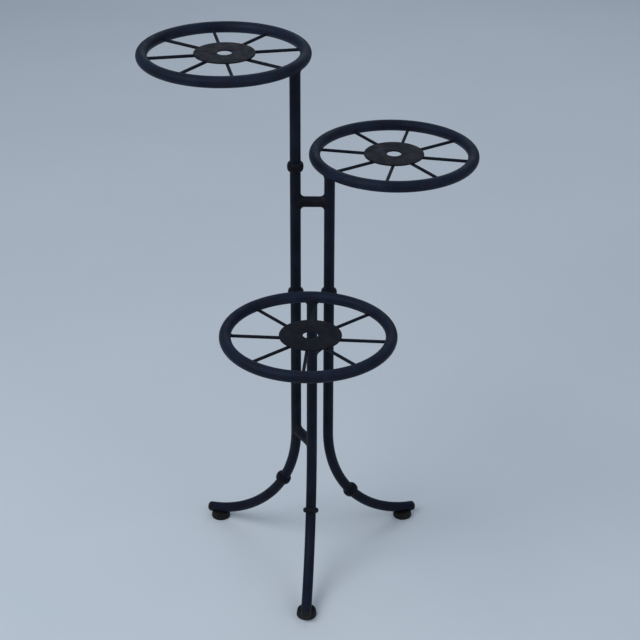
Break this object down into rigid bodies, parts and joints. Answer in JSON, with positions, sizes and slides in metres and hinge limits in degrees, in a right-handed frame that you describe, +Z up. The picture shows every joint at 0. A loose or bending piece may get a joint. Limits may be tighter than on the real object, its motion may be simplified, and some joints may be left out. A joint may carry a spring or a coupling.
{
  "type": "tiered plant stand",
  "caption": "Tubular steel plant stand: bent tripod posts of unequal height, each carrying a spoked ring shelf over its own leg.",
  "frame": {"origin": "on the floor, under the middle of the stand's bounding box", "axes": "+Z up; -Y towards the front, the way the short post's leg and its shelf reach out; +X to the right seen from the front"},
  "size_m": [0.5034, 0.4854, 0.8235],
  "materials": {
    "tube_paint": "satin blue-black paint",
    "plate_paint": "satin black paint, slightly warmer than the tubes",
    "rod_paint": "satin black paint",
    "bead_paint": "satin black paint, brushed thick",
    "end_plug": "moulded, matt",
    "glide_rubber": "matt brown-black",
    "screw_steel": "zinc plated"
  },
  "bodies": {
    "root": {"tall_post": "tube_paint", "middle_post": "tube_paint", "short_post": "tube_paint", "upper_cross_tube": "tube_paint", "centre_cross_tube": "tube_paint", "lower_cross_tube": "tube_paint", "top_rim": "tube_paint", "middle_rim": "tube_paint", "bottom_rim": "tube_paint", "top_plate": "plate_paint", "middle_plate": "plate_paint", "bottom_plate": "plate_paint", "top_spoke_1": "rod_paint", "top_spoke_2": "rod_paint", "top_spoke_3": "rod_paint", "top_spoke_4": "rod_paint", "top_spoke_5": "rod_paint", "top_spoke_6": "rod_paint", "top_spoke_7": "rod_paint", "top_spoke_8": "rod_paint", "middle_spoke_1": "rod_paint", "middle_spoke_2": "rod_paint", "middle_spoke_3": "rod_paint", "middle_spoke_4": "rod_paint", "middle_spoke_5": "rod_paint", "middle_spoke_6": "rod_paint", "middle_spoke_7": "rod_paint", "middle_spoke_8": "rod_paint", "bottom_spoke_1": "rod_paint", "bottom_spoke_2": "rod_paint", "bottom_spoke_3": "rod_paint", "bottom_spoke_4": "rod_paint", "bottom_spoke_5": "rod_paint", "bottom_spoke_6": "rod_paint", "bottom_spoke_7": "rod_paint", "bottom_spoke_8": "rod_paint", "tall_post_upper_bead": "bead_paint", "tall_post_lower_bead": "bead_paint", "middle_post_bead": "bead_paint", "tall_leg_bead": "bead_paint", "middle_leg_bead": "bead_paint", "short_leg_bead": "bead_paint", "tall_leg_plug": "end_plug", "middle_leg_plug": "end_plug", "short_leg_plug": "end_plug", "tall_leg_glide": "glide_rubber", "middle_leg_glide": "glide_rubber", "short_leg_glide": "glide_rubber", "tall_leg_glide_screw": "screw_steel", "middle_leg_glide_screw": "screw_steel", "short_leg_glide_screw": "screw_steel"}
  },
  "joints": []
}
